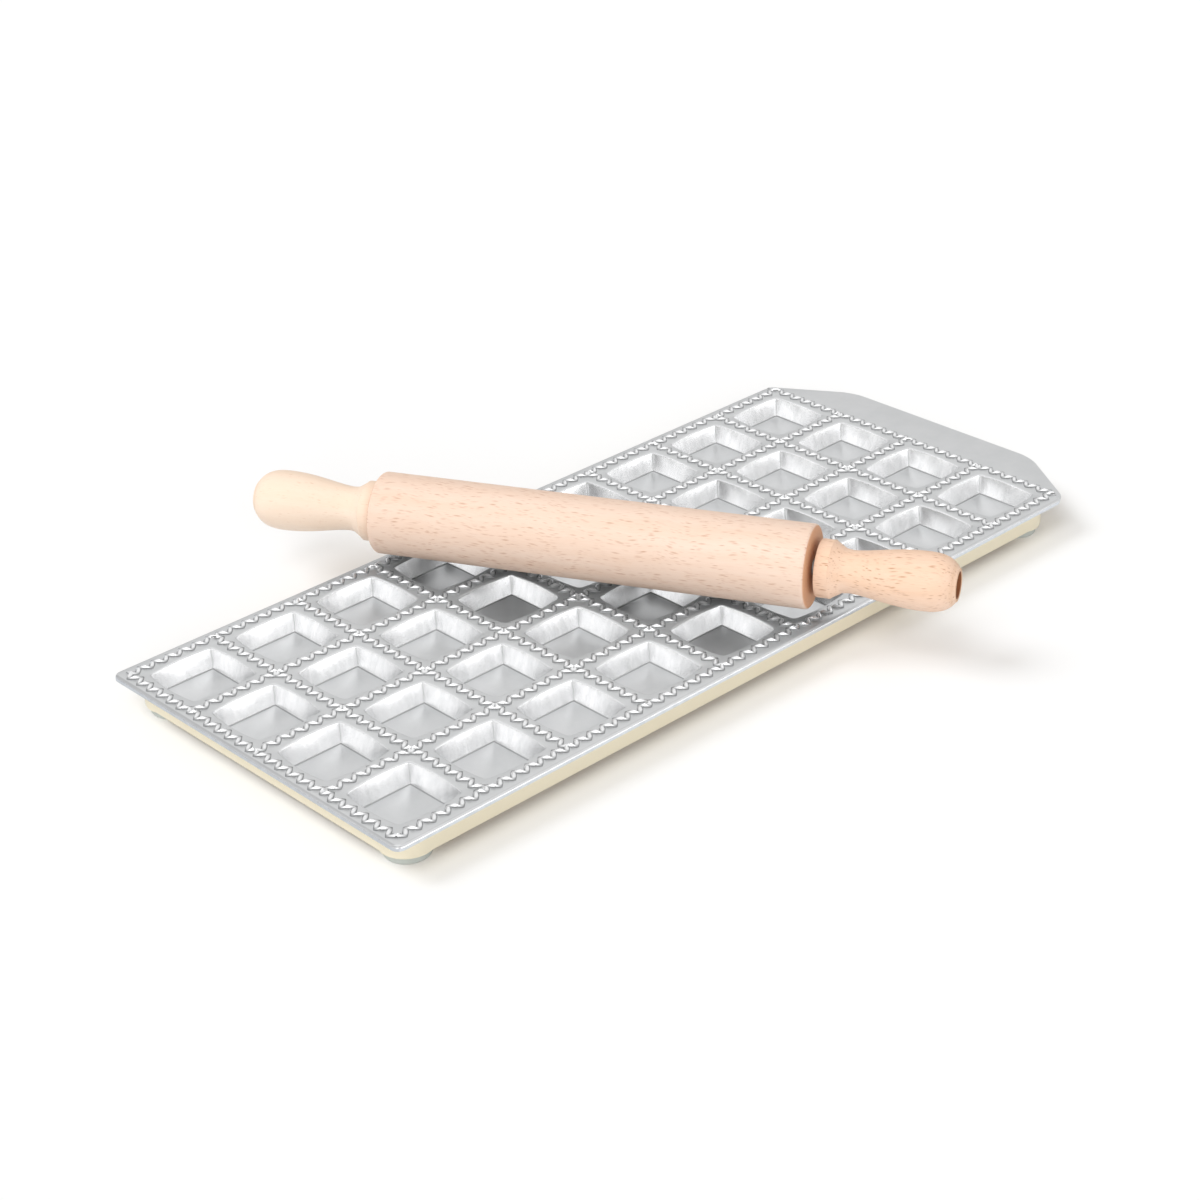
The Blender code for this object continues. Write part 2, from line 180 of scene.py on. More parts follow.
def addMix(tree, x, y, kind="RGBA", **ends):
    node = addNode(tree, "ShaderNodeMix", x, y, data_type=kind)
    setInputs(node, **ends)
    return node


def addMath(tree, x, y, operation, second=None):
    node = addNode(tree, "ShaderNodeMath", x, y, operation=operation)
    if second is not None:
        node.inputs[1].default_value = second
    return node


# From 0 to 1 between those two values.
def addRange(tree, x, y, ends, **settings):
    node = addNode(tree, "ShaderNodeMapRange", x, y, **settings)
    setInputs(node, **{"From Min": ends[0], "From Max": ends[1]})
    return node


# A noise or other texture on stretched coordinates.
def addPattern(tree, x, y, scale, vector, kind="ShaderNodeTexNoise", **values):
    stretch = addNode(tree, "ShaderNodeMapping", x - 200, y)
    setInputs(stretch, Scale=scale)
    pattern = addNode(tree, kind, x, y)
    setInputs(pattern, Scale=1.0, **values)
    tree.links.new(vector, stretch.inputs["Vector"])
    tree.links.new(stretch.outputs["Vector"], pattern.inputs["Vector"])
    return pattern


woodGrain = {
    "wanderScale": 0.045,  # how the grain strays from straight
    "wander": 5.0,
    "streaks": (0.22, 0.22, 0.012),    # marks to a millimetre, across the grain and along it
    "fibre": (2.6, 2.6, 0.14),
    "fibreShare": 0.4,
    "tones": (0.32, 0.68),
    "sparseFlecks": (0.95, 0.95, 0.17),
    "denseFlecks": (1.6, 1.6, 0.24),
    "denseStrength": 0.9,
    "fleckCore": 0.04,
    "endFrom": (0.6, 0.95),
    "bump": 0.2,
    "reflectedShade": (0.66, 0.65, 0.64),    # painted shade: glossy rays see the wood in this grey, so the plate mirrors only the wood's shaded underside
    "recess": (0.30, 0.11, 0.04),      # painted shade inside the handles' ends
}


# Beech: soft streaks along the grain, faint dense flecks and stronger sparse ones, and darker
# end grain, whose colour also holds painted shade for the end faces. The vector is in millimetres, with
# the grain along Z.
def woodGroup():
    group = bpy.data.node_groups.new("beech grain", "ShaderNodeTree")
    for name, kind, value in (
        ("Vector", "NodeSocketVector", None),
        ("End", "NodeSocketFloat", 0.0),
        ("Light", "NodeSocketColor", (0.85, 0.68, 0.55, 1.0)),
        ("Deep", "NodeSocketColor", (0.70, 0.48, 0.36, 1.0)),
        ("Fleck", "NodeSocketColor", (0.45, 0.24, 0.16, 1.0)),
        ("End grain", "NodeSocketColor", (0.60, 0.40, 0.25, 1.0)),
        ("Fleck size", "NodeSocketFloat", 0.25),
        ("Fleck strength", "NodeSocketFloat", 0.7),
    ):
        socket = group.interface.new_socket(name, in_out="INPUT", socket_type=kind)
        if value is not None:
            socket.default_value = value
    group.interface.new_socket("Colour", in_out="OUTPUT", socket_type="NodeSocketColor")
    group.interface.new_socket("Height", in_out="OUTPUT", socket_type="NodeSocketFloat")
    inside = addNode(group, "NodeGroupInput", -1500, 0)
    outside = addNode(group, "NodeGroupOutput", 900, 0)
    link = joiner(group)

    # the grain wanders a little
    wave = addNode(group, "ShaderNodeTexNoise", -1300, 200)
    setInputs(wave, Scale=woodGrain["wanderScale"], Detail=1.0)
    offset = addNode(group, "ShaderNodeVectorMath", -1130, 200, operation="SCALE")
    setInputs(offset, Scale=woodGrain["wander"])
    wandered = addNode(group, "ShaderNodeVectorMath", -980, 100, operation="ADD")
    link(inside, "Vector", wave, "Vector")
    link(wave, "Color", offset, 0)
    link(offset, "Vector", wandered, 0)
    link(inside, "Vector", wandered, 1)
    way = wandered.outputs["Vector"]

    # one spindle-shaped mark to a cell, each of its own strength
    def flecksAt(y, scale):
        cells = addPattern(group, -600, y, scale, way, "ShaderNodeTexVoronoi", Randomness=1.0)
        soft = addRange(group, -400, y, (0.0, woodGrain["fleckCore"]), interpolation_type="SMOOTHSTEP")
        own = addMath(group, -200, y, "MULTIPLY")
        link(cells, "Distance", soft, "Value")
        link(inside, "Fleck size", soft, "From Min")
        link(soft, "Result", own, 0)
        link(cells, "Color", own, 1)
        return own

    streaks = addPattern(group, -600, 400, woodGrain["streaks"], way, Detail=4.0, Roughness=0.6)
    fibre = addPattern(group, -600, 0, woodGrain["fibre"], way, Detail=3.0, Roughness=0.6)
    mottled = addMix(group, -500, 550, "FLOAT", Factor=woodGrain["fibreShare"])
    spread = addRange(group, -400, 400, woodGrain["tones"])
    tone = addMix(group, -200, 400)
    link(streaks, "Fac", mottled, "A")
    link(fibre, "Fac", mottled, "B")
    link(mottled, "Result", spread, "Value")
    link(spread, "Result", tone, "Factor")
    link(inside, "Light", tone, "A")
    link(inside, "Deep", tone, "B")

    sparse = flecksAt(-250, woodGrain["sparseFlecks"])
    dense = flecksAt(-500, woodGrain["denseFlecks"])
    fainter = addMath(group, 0, -500, "MULTIPLY", woodGrain["denseStrength"])
    marks = addMath(group, 150, -350, "MAXIMUM")
    fade = addMath(group, 300, -300, "MULTIPLY")
    link(dense, "Value", fainter, 0)
    link(sparse, "Value", marks, 0)
    link(fainter, "Value", marks, 1)
    link(marks, "Value", fade, 0)
    link(inside, "Fleck strength", fade, 1)

    ends = addMix(group, 200, 300)
    link(inside, "End", ends, "Factor")
    link(tone, "Result", ends, "A")
    link(inside, "End grain", ends, "B")
    flecked = addMix(group, 500, 200)
    link(fade, "Value", flecked, "Factor")
    link(ends, "Result", flecked, "A")
    link(inside, "Fleck", flecked, "B")
    height = addMath(group, 500, -100, "SUBTRACT")
    link(fibre, "Fac", height, 0)
    link(marks, "Value", height, 1)
    link(flecked, "Result", outside, "Colour")
    link(height, "Value", outside, "Height")
    return group


beechGrain = woodGroup()


def beech(name, colours, fleckSize, fleckStrength, roughness, shift):
    made, tree, shader = newMaterial(name)
    link = joiner(tree)
    back = pinPlace.inverted()
    where = addNode(tree, "ShaderNodeTexCoord", -1300, 0)
    turn = addNode(tree, "ShaderNodeMapping", -1050, 0)
    setInputs(turn, Location=back.translation, Rotation=back.to_euler())
    scale = addNode(tree, "ShaderNodeMapping", -850, 0)
    setInputs(scale, Scale=(1000, 1000, 1000), Location=shift)
    # the end faces take the end grain colour: the wood's darker end grain, deepened with painted shade
    along = addNode(tree, "ShaderNodeVectorMath", -1050, -300, operation="DOT_PRODUCT")
    along.inputs[1].default_value = pinPlace.to_3x3() @ Vector((0.0, 0.0, 1.0))
    level = addMath(tree, -850, -300, "ABSOLUTE")
    end = addRange(tree, -650, -300, woodGrain["endFrom"], interpolation_type="SMOOTHSTEP")
    grain = addNode(tree, "ShaderNodeGroup", -450, 0, node_tree=beechGrain)
    setInputs(grain, **{"Fleck size": fleckSize, "Fleck strength": fleckStrength})
    for part, colour in zip(("Light", "Deep", "Fleck", "End grain"), colours):
        grain.inputs[part].default_value = (*colour, 1.0)
    bump = addNode(tree, "ShaderNodeBump", -200, -250)
    setInputs(bump, Strength=woodGrain["bump"], Distance=0.2 * mm)
    link(where, "Object", turn, "Vector")
    link(turn, "Vector", scale, "Vector")
    link(scale, "Vector", grain, "Vector")
    link(where, "Normal", along, 0)
    link(along, "Value", level, 0)
    link(level, "Value", end, "Value")
    link(end, "Result", grain, "End")
    # painted shade in reflections: glossy rays see the wood in a flat grey
    lightPath = addNode(tree, "ShaderNodeLightPath", -450, 350)
    reflectedShade = addMix(tree, -150, 150, B=(*woodGrain["reflectedShade"], 1.0))
    # painted shade inside the handles' recesses
    recessShade = addNode(tree, "ShaderNodeAttribute", -450, 600, attribute_name="recessShade")
    hollow = addMix(tree, -250, 400, B=(*woodGrain["recess"], 1.0))
    link(recessShade, "Fac", hollow, "Factor")
    link(grain, "Colour", hollow, "A")
    link(lightPath, "Is Glossy Ray", reflectedShade, "Factor")
    link(hollow, "Result", reflectedShade, "A")
    link(reflectedShade, "Result", shader, "Base Color")
    link(grain, "Height", bump, "Height")
    link(bump, "Normal", shader, "Normal")
    setInputs(shader, Roughness=roughness)
    return made


# Satin sheet: draw marks down the pocket walls, painted shade in the creases, a painted highlight on the
# crests, cloudy flats, and walls painted lighter than the flats.
def pressedAluminium():
    made, tree, shader = newMaterial("pressed aluminium")
    link = joiner(tree)
    where = addNode(tree, "ShaderNodeTexCoord", -1500, 0)
    surface = addNode(tree, "ShaderNodeNewGeometry", -1500, -450)

    cloud = addNode(tree, "ShaderNodeTexNoise", -1200, 300)
    setInputs(cloud, Scale=plateFinish["cloudScale"], Detail=5.0, Roughness=0.6)
    link(where, "Object", cloud, "Vector")
    drawMarks = addPattern(
        tree, -1100, -150, plateFinish["drawScale"], where.outputs["Object"], Detail=3.0, Roughness=0.6
    )

    # 1 on the steep walls, 0 on the flats
    facing = addNode(tree, "ShaderNodeSeparateXYZ", -1300, -450)
    level = addMath(tree, -1100, -450, "ABSOLUTE")
    steep = addRange(tree, -900, -450, plateFinish["steep"], interpolation_type="SMOOTHSTEP")
    link(surface, "Normal", facing, "Vector")
    link(facing, "Z", level, 0)
    link(level, "Value", steep, "Value")

    # 1 on the ridges' crests, which stand above the flat face
    height = addNode(tree, "ShaderNodeSeparateXYZ", -1300, -700)
    crestEnds = [z * mm for z in plateFinish["crest"]]
    crest = addRange(tree, -900, -700, crestEnds, interpolation_type="SMOOTHSTEP")
    link(where, "Object", height, "Vector")
    link(height, "Z", crest, "Value")

    streaks = addMix(tree, -700, 0, "FLOAT")
    link(steep, "Result", streaks, "Factor")
    link(cloud, "Fac", streaks, "A")
    link(drawMarks, "Fac", streaks, "B")
    spread = addRange(tree, -800, 250, plateFinish["tones"])
    link(streaks, "Result", spread, "Value")
    # painted light and shade: the steep walls take a lighter colour than the flats
    tone = addMix(tree, -420, 400)
    link(steep, "Result", tone, "Factor")
    for y, end, (dull, bright) in ((500, "A", plateFinish["flat"]), (300, "B", plateFinish["wall"])):
        own = addMix(tree, -600, y, A=(*dull, 1.0), B=(*bright, 1.0))
        link(spread, "Result", own, "Factor")
        link(own, "Result", tone, end)
    # painted highlight: the ridges' crests lighter than the rest
    crestHighlight = addMix(tree, -250, 400, B=(*plateFinish["crestHighlight"], 1.0))
    link(crest, "Result", crestHighlight, "Factor")
    link(tone, "Result", crestHighlight, "A")
    # painted shade in the creases and on the lip, and round the ridges' feet
    ridgeFoot = addMath(tree, -700, -1000, "MULTIPLY")
    for place, ends in enumerate((plateFinish["footFrom"], plateFinish["footTo"])):
        edge = addRange(tree, -900, -900 - 250 * place, [z * mm for z in ends])
        link(height, "Z", edge, "Value")
        link(edge, "Result", ridgeFoot, place)
    paintedShade = addNode(tree, "ShaderNodeAttribute", -650, 750, attribute_name="paintedShade")
    deepestShade = addMath(tree, -450, 700, "MAXIMUM")
    shadeAmount = addMath(tree, -250, 650, "MULTIPLY", plateFinish["creaseShade"])
    colour = addMix(tree, -50, 450, B=(*plateFinish["paintedShade"], 1.0))
    link(paintedShade, "Fac", deepestShade, 0)
    link(ridgeFoot, "Value", deepestShade, 1)
    link(deepestShade, "Value", shadeAmount, 0)
    link(shadeAmount, "Value", colour, "Factor")
    link(crestHighlight, "Result", colour, "A")
    link(colour, "Result", shader, "Base Color")

    satin = addRange(tree, -600, 100, plateFinish["tones"])
    low, high = plateFinish["roughness"]
    setInputs(satin, **{"To Min": low, "To Max": high})
    drawn = addMix(tree, -420, 100, "FLOAT", B=plateFinish["wallRoughness"])
    polish = addMix(tree, -250, 100, "FLOAT", B=plateFinish["crestRoughness"])
    link(cloud, "Fac", satin, "Value")
    link(steep, "Result", drawn, "Factor")
    link(satin, "Result", drawn, "A")
    link(crest, "Result", polish, "Factor")
    link(drawn, "Result", polish, "A")
    link(polish, "Result", shader, "Roughness")

    grooves = addMath(tree, -700, -250, "MULTIPLY")
    link(drawMarks, "Fac", grooves, 0)
    link(steep, "Result", grooves, 1)
    bump = addNode(tree, "ShaderNodeBump", -350, -200)
    setInputs(bump, Strength=plateFinish["drawBump"], Distance=0.1 * mm)
    link(grooves, "Value", bump, "Height")
    link(bump, "Normal", shader, "Normal")
    setInputs(shader, Metallic=1.0)
    return made


# Plastic or rubber: a cloudy tone and a fine moulded grain.
def mouldedFinish(name, light, deep, roughness, grainScale, bumpStrength):
    made, tree, shader = newMaterial(name)
    link = joiner(tree)
    where = addNode(tree, "ShaderNodeTexCoord", -1000, 0)
    cloud = addNode(tree, "ShaderNodeTexNoise", -800, 200)
    setInputs(cloud, Scale=45.0, Detail=3.0)
    grain = addNode(tree, "ShaderNodeTexNoise", -800, -200)
    setInputs(grain, Scale=grainScale, Detail=2.0)
    tone = addMix(tree, -500, 200, A=(*light, 1.0), B=(*deep, 1.0))
    bump = addNode(tree, "ShaderNodeBump", -350, -200)
    setInputs(bump, Strength=bumpStrength, Distance=0.1 * mm)
    link(where, "Object", cloud, "Vector")
    link(where, "Object", grain, "Vector")
    link(cloud, "Fac", tone, "Factor")
    link(grain, "Fac", bump, "Height")
    link(tone, "Result", shader, "Base Color")
    link(bump, "Normal", shader, "Normal")
    setInputs(shader, Roughness=roughness)
    return made


def platedSteel():
    made, tree, shader = newMaterial("zinc plated steel")
    link = joiner(tree)
    where = addNode(tree, "ShaderNodeTexCoord", -900, 0)
    cloud = addNode(tree, "ShaderNodeTexNoise", -700, 0)
    setInputs(cloud, Scale=steelFinish["cloudScale"], Detail=3.0)
    dull, bright = steelFinish["tones"]
    tone = addMix(tree, -450, 150, A=(*dull, 1.0), B=(*bright, 1.0))
    rough = addNode(tree, "ShaderNodeMapRange", -450, -100)
    smooth, coarse = steelFinish["roughness"]
    setInputs(rough, **{"To Min": smooth, "To Max": coarse})
    link(where, "Object", cloud, "Vector")
    link(cloud, "Fac", tone, "Factor")
    link(cloud, "Fac", rough, "Value")
    link(tone, "Result", shader, "Base Color")
    link(rough, "Result", shader, "Roughness")
    setInputs(shader, Metallic=1.0)
    return made


plateFinish = {
    # painted light and shade: the flats darker and the walls lighter, each spread at random between two
    # tones
    "flat": ((0.67, 0.68, 0.685), (0.73, 0.735, 0.74)),
    "wall": ((0.84, 0.845, 0.85), (0.97, 0.97, 0.975)),
    # painted highlight: the crests' lighter colour
    "crestHighlight": (0.94, 0.945, 0.95),
    # painted shade: the colour put in the creases, on the lip and round the ridges' feet
    "paintedShade": (0.22, 0.225, 0.23),
    "creaseShade": 0.8,
    "cloudScale": 110.0,   # to the metre, and so is the next
    "drawScale": (420.0, 420.0, 60.0),
    "drawBump": 0.06,
    "tones": (0.3, 0.7),
    "steep": (0.75, 0.35),
    "footFrom": (13.10, 13.22),        # heights above the floor, of the painted shade round the ridges
    "footTo": (13.58, 13.34),
    "crest": (13.4, 13.7),
    "roughness": (0.34, 0.40),
    "wallRoughness": 0.24,
    "crestRoughness": 0.15,
}
steelFinish = {
    "tones": ((0.50, 0.50, 0.49), (0.68, 0.67, 0.64)),
    "cloudScale": 600.0,
    "roughness": (0.25, 0.5),
}
moulded = {
    "ivory plastic": {
        "light": (0.89, 0.80, 0.61),
        "deep": (0.86, 0.76, 0.56),
        "roughness": 0.42,
        "grainScale": 2500.0,
        "bumpStrength": 0.05,
    },
    "grey rubber": {
        "light": (0.58, 0.60, 0.55),
        "deep": (0.51, 0.53, 0.48),
        "roughness": 0.7,
        "grainScale": 1800.0,
        "bumpStrength": 0.2,
    },
}
woods = {                  # colours: light, deep, fleck, end grain
    "pink beech": {
        "colours": ((0.895, 0.695, 0.57), (0.85, 0.62, 0.48), (0.56, 0.29, 0.17), (0.72, 0.38, 0.21)),
        "fleckSize": 0.37,
        "fleckStrength": 0.9,
        "roughness": 0.6,
        "shift": (0, 0, 0),
    },
    "pale beech": {
        "colours": ((0.93, 0.755, 0.61), (0.90, 0.70, 0.54), (0.68, 0.42, 0.26), (0.80, 0.58, 0.38)),
        "fleckSize": 0.22,
        "fleckStrength": 0.6,
        "roughness": 0.55,
        "shift": (40, 0, 0),
    },
    "tan beech": {
        "colours": ((0.91, 0.655, 0.50), (0.85, 0.57, 0.39), (0.48, 0.22, 0.10), (0.78, 0.50, 0.30)),
        "fleckSize": 0.34,
        "fleckStrength": 1.0,
        "roughness": 0.55,
        "shift": (0, 60, 0),
    },
}
aluminium = pressedAluminium()
steel = platedSteel()
ivory, rubber = (mouldedFinish(name, **values) for name, values in moulded.items())
barrelBeech, leftBeech, rightBeech = (beech(name, **values) for name, values in woods.items())
print("materials ready")


# Pressed plate

plate = {
    "cell": 33.0,
    "cellsLong": 9,
    "cellsWide": 4,
    "face": 13.1,          # height of the flat face
    "sheet": 0.9,
    "halfX": 152.1,
    "halfY": 70.7,
    "corner": 2.88,
    "rimBand": 2.6,        # plain strip inside the edge
    "lipRoll": 1.3,
    "lipDrop": 1.8,
    "lipFade": 2.0,        # length over which it runs out at the tab
    "lipBand": 0.9,        # width of its strip of painted shade
    "lipShade": (0.5, 0.25),   # how much painted shade the left end's lip gets, and the long sides'
    "tabStart": 148.9,
    "tabEnd": 166.9,
    "tabHalfWidth": 42.5,
    "tabCorner": 5.2,
}
gridX = plate["cell"] * plate["cellsLong"] / 2
gridY = plate["cell"] * plate["cellsWide"] / 2

pocket = {
    "mouth": 12.1,         # half widths, where the wall's plane meets the face and the floor
    "floor": 10.5,
    "depth": 6.8,
    "mouthRound": 0.9,
    "bulge": 0.9,          # how far a mouth's side swells
    "mouthCorner": 2.3,
    "topCorner": 1.3,      # the walls' corner just below the mouth
    "footCorner": 0.35,
    "footRings": (         # height above the floor, inset, painted shade
        (3.06, 0.0, 0.0),
        (0.42, 0.0, 0.0),
        (0.10, 0.03, 1.0),
        (0.0, 0.22, 0.7),
        (0.0, 0.50, 0.0),
        (0.0, 1.30, 0.0),
    ),
    "cornerShade": 0.5,   # painted shade in the corners up the walls
    "sideCuts": 7,
    "cornerSteps": 4,
    "archSteps": 5,
}


# The flat outline with its grip tab, its corners rounded, left open inside its plain strip.
def plateRim(bm):
    outline = (
        (-plate["halfX"], -plate["halfY"]),
        (plate["tabStart"], -plate["halfY"]),
        (plate["tabEnd"], -plate["tabHalfWidth"]),
        (plate["tabEnd"], plate["tabHalfWidth"]),
        (plate["tabStart"], plate["halfY"]),
        (-plate["halfX"], plate["halfY"]),
    )
    face = bm.faces.new([bm.verts.new((x, y, 0.0)) for x, y in outline])
    tab = [v for v in face.verts if v.co.x > plate["tabStart"] + 1]
    bevelVerts(bm, tab, plate["tabCorner"], 6)
    ends = [v for v in bm.verts if abs(abs(v.co.y) - plate["halfY"]) < 1e-4]
    bevelVerts(bm, ends, plate["corner"], 6)
    inner = next(iter(bm.faces))
    bmesh.ops.inset_region(
        bm, faces=[inner], thickness=plate["rimBand"], use_boundary=True, use_even_offset=True
    )
    loop = list(inner.edges)
    bmesh.ops.delete(bm, geom=[inner], context="FACES_ONLY")
    return loop


# The middle of the cell that a point lies in.
def cellMiddle(point):
    column = min(max(int((point.x + gridX) // plate["cell"]), 0), plate["cellsLong"] - 1)
    row = min(max(int((point.y + gridY) // plate["cell"]), 0), plate["cellsWide"] - 1)
    return Vector(((column + 0.5) * plate["cell"] - gridX, (row + 0.5) * plate["cell"] - gridY, 0.0))


# One pocket's opening: a rounded square with short lengths along its swollen sides.
def mouthOutline(ring):
    bm = bmesh.new()
    roundedFace(bm, ring[0], ring[0], ring[1], 0.0, pocket["cornerSteps"])
    sides = [e for e in bm.edges if e.calc_length() > ring[0]]
    bmesh.ops.subdivide_edges(bm, edges=sides, cuts=pocket["sideCuts"])
    spot = bm.verts.layers.float_vector.new("spot")
    for vert in bm.verts:
        vert[spot] = vert.co
        vert.co = ringPlace(vert.co, ring, ring)
    mesh = bpy.data.meshes.new("mouth")
    bm.to_mesh(mesh)
    bm.free()
    return mesh


# The rings from the rounded mouth down to the floor: half width, corner, swell, height, painted shade.
def pocketRings():
    slope = math.atan2(pocket["mouth"] - pocket["floor"], pocket["depth"])
    turn = math.pi / 2 - slope
    radius = pocket["mouthRound"]
    start = pocket["mouth"] + radius * math.tan(turn / 2)
    rings = []
    for step in range(pocket["archSteps"] + 1):
        lean = turn * step / pocket["archSteps"]
        share = step / pocket["archSteps"]
        corner = pocket["mouthCorner"] + (pocket["topCorner"] - pocket["mouthCorner"]) * share
        half = start - radius * math.sin(lean)
        rings.append((half, corner, pocket["bulge"], radius * (math.cos(lean) - 1), 0.0))
    for height, inset, paintedShade in pocket["footRings"]:
        high = height / pocket["depth"]
        corner = pocket["footCorner"] + (pocket["topCorner"] - pocket["footCorner"]) * high
        half = pocket["floor"] + (pocket["mouth"] - pocket["floor"]) * high - inset
        depth = pocket["depth"] - height
        rings.append((half, corner + inset * 0.3, pocket["bulge"] * high, -depth, paintedShade))
    return rings


# Where a point of the first ring goes in another: it keeps its share of the side or corner.
def ringPlace(spot, first, ring):
    flat = first[0] - first[1]
    straight = [min(max(a, -flat), flat) for a in spot[:2]]
    turned = [a - s for a, s in zip(spot, straight)]
    place = [s * (ring[0] - ring[1]) / flat + t * ring[1] / first[1] for s, t in zip(straight, turned)]
    for axis, other in ((0, 1), (1, 0)):
        if abs(turned[axis]) > first[1] * 0.99:
            place[axis] += math.copysign(ring[2] * (1 - (straight[other] / flat) ** 2), turned[axis])
    return Vector((place[0], place[1], ring[3]))


# Sinks every mouth's face ring by ring, and marks painted shade in its creases.
def sinkPockets(bm, faces, rings):
    spot = bm.verts.layers.float_vector["spot"]
    shadeLayer = bm.verts.layers.float.new("paintedShade")
    first = rings[0]
    for ring in rings[1:]:
        faces = bmesh.ops.extrude_discrete_faces(bm, faces=faces)["faces"]
        for face in faces:
            middle = cellMiddle(face.calc_center_median())
            for vert in face.verts:
                vert.co = middle + ringPlace(vert[spot], first, ring)
                inCorner = min(abs(a) for a in vert[spot][:2]) > first[0] - first[1] * 0.4
                onWall = -pocket["depth"] + 0.2 < ring[3] < -pocket["mouthRound"]
                vert[shadeLayer] = pocket["cornerShade"] if inCorner and onWall else ring[4]


# Turns the edge down on three sides and lets it run out at the tab.
def rollLip(bm, rim):
    for vert in vertsOf(bmesh.ops.extrude_edge_only(bm, edges=rim)):
        share = min(max((plate["tabStart"] - vert.co.x) / plate["lipFade"], 0.0), 1.0)
        vert.co.z -= plate["lipDrop"] * share
    creases = [e for e in rim if max(v.co.x for v in e.verts) < plate["tabStart"] - 1.0]
    bevelEdges(bm, creases, plate["lipRoll"], 4)
    bmesh.ops.remove_doubles(bm, verts=bm.verts, dist=0.02)
    # painted shade along the lip, more at the left end than on the long sides
    shadeLayer = bm.verts.layers.float["paintedShade"]
    for vert in bm.verts:
        if vert.co.x < plate["lipBand"] - plate["halfX"]:
            vert[shadeLayer] = plate["lipShade"][0]
        elif abs(vert.co.y) > plate["halfY"] - plate["lipBand"]:
            vert[shadeLayer] = plate["lipShade"][1]


ridge = {
    "height": 1.1,
    "tooth": 2.64,         # length and swing of half a tooth
    "teeth": 11,           # half teeth along a cell
    "lower": 0.02,         # the cross ridges' crests, so that no faces coincide
    "section": (           # square to a tooth: offset, share of the height
        (1.14, -0.30), (0.82, 0.36), (0.60, 0.58), (0.30, 0.85), (0.12, 0.97),
    ),
    "cornerCut": 0.32,     # how far each point of the zigzag is rounded back
    "cornerKeep": 0.4,     # how much of the point is left
    "cornerHeight": 0.42,  # share of the height at the points; each tooth swells between them
}
# every tooth lies at 45 degrees to its grid line
ridgeSection = [(-offset * math.sqrt(2), share) for offset, share in ridge["section"]] + [(0.0, 1.0)]
ridgeSection += [(-offset, share) for offset, share in reversed(ridgeSection[:-1])]


# Places along a grid line and swings to its sides, with one short tooth at each crossing.
def zigzag(cells, line):
    tooth = ridge["tooth"]
    crossing = (plate["cell"] - tooth * ridge["teeth"]) / 2
    places = []
    for cell in range(cells + 1):
        side = 1 if (cell + line) % 2 == 0 else -1
        at = (cell - cells / 2) * plate["cell"]
        places.append((at, side * (crossing - tooth / 2)))
        if cell < cells:
            for step in range(ridge["teeth"] + 1):
                places.append((at + crossing + step * tooth, -side * tooth / 2 * (-1) ** step))
    return places


# Replaces each inner corner by three low points, a little inside it, with a high one after them.
def roundedWay(places, cut):
    low = ridge["cornerHeight"]
    keep = ridge["cornerKeep"]
    way = [(*places[0], 1.0)]
    for before, here, after in zip(places, places[1:], places[2:]):
        points = []
        for other in (before, after):
            share = cut / math.dist(here, other)
            points.append([a + (b - a) * share for a, b in zip(here, other)])
        tip = [a * keep + (b + c) * (1 - keep) / 2 for a, b, c in zip(here, *points)]
        middle = [(a + b) / 2 for a, b in zip(here, after)]
        way += [(*points[0], low), (*tip, low), (*points[1], low), (*middle, 1.0)]
    return way + [(*places[-1], 1.0)]


# Extrudes the ridge's section along its way, square to the grid line.
def ridgeRun(bm, way, height):
    at, swing, rise = way[0]
    verts = [bm.verts.new((at, swing + offset, share * height * rise)) for offset, share in ridgeSection]
    bm.faces.new(verts)
    edges = [bm.edges.get(pair) for pair in zip(verts, verts[1:] + verts[:1])]
    for here, after in zip(way, way[1:]):
        made = bmesh.ops.extrude_edge_only(bm, edges=edges)
        edges = [g for g in made["geom"] if isinstance(g, bmesh.types.BMEdge)]
        moved = vertsOf(made)
        bmesh.ops.translate(bm, vec=(after[0] - here[0], after[1] - here[1], 0.0), verts=moved)
        bmesh.ops.scale(
            bm, vec=(1.0, 1.0, after[2] / here[2]), verts=[v for v in moved if v.co.z > 0.0]
        )
    bmesh.ops.contextual_create(bm, geom=edges)


# The two ways that a ridge can start, as meshes, along X or across it.
def ridgeMeshes(along):
    cells = plate["cellsLong"] if along else plate["cellsWide"]
    height = ridge["height"] - (0.0 if along else ridge["lower"])
    meshes = []
    for line in (0, 1):
        bm = bmesh.new()
        ridgeRun(bm, roundedWay(zigzag(cells, line), ridge["cornerCut"]), height)
        if not along:
            bmesh.ops.transform(
                bm, matrix=Matrix(((0, 1, 0, 0), (1, 0, 0, 0), (0, 0, 1, 0), (0, 0, 0, 1))), verts=bm.verts
            )
        bmesh.ops.recalc_face_normals(bm, faces=bm.faces)
        mesh = bpy.data.meshes.new("ridge")
        bm.to_mesh(mesh)
        bm.free()
        meshes.append(mesh)
    return meshes


def addRidges(bm):
    long = ridgeMeshes(True)
    cross = ridgeMeshes(False)
    for line in range(plate["cellsWide"] + 1):
        addMeshAt(bm, long[line % 2], (0.0, line * plate["cell"] - gridY, 0.0))
    for line in range(plate["cellsLong"] + 1):
        addMeshAt(bm, cross[line % 2], (line * plate["cell"] - gridX, 0.0, 0.0))
    for mesh in long + cross:
        bpy.data.meshes.remove(mesh)


def addMeshAt(bm, mesh, place):
    first = len(bm.verts)
    bm.from_mesh(mesh)
    bm.verts.ensure_lookup_table()
    bmesh.ops.translate(bm, vec=place, verts=bm.verts[first:])


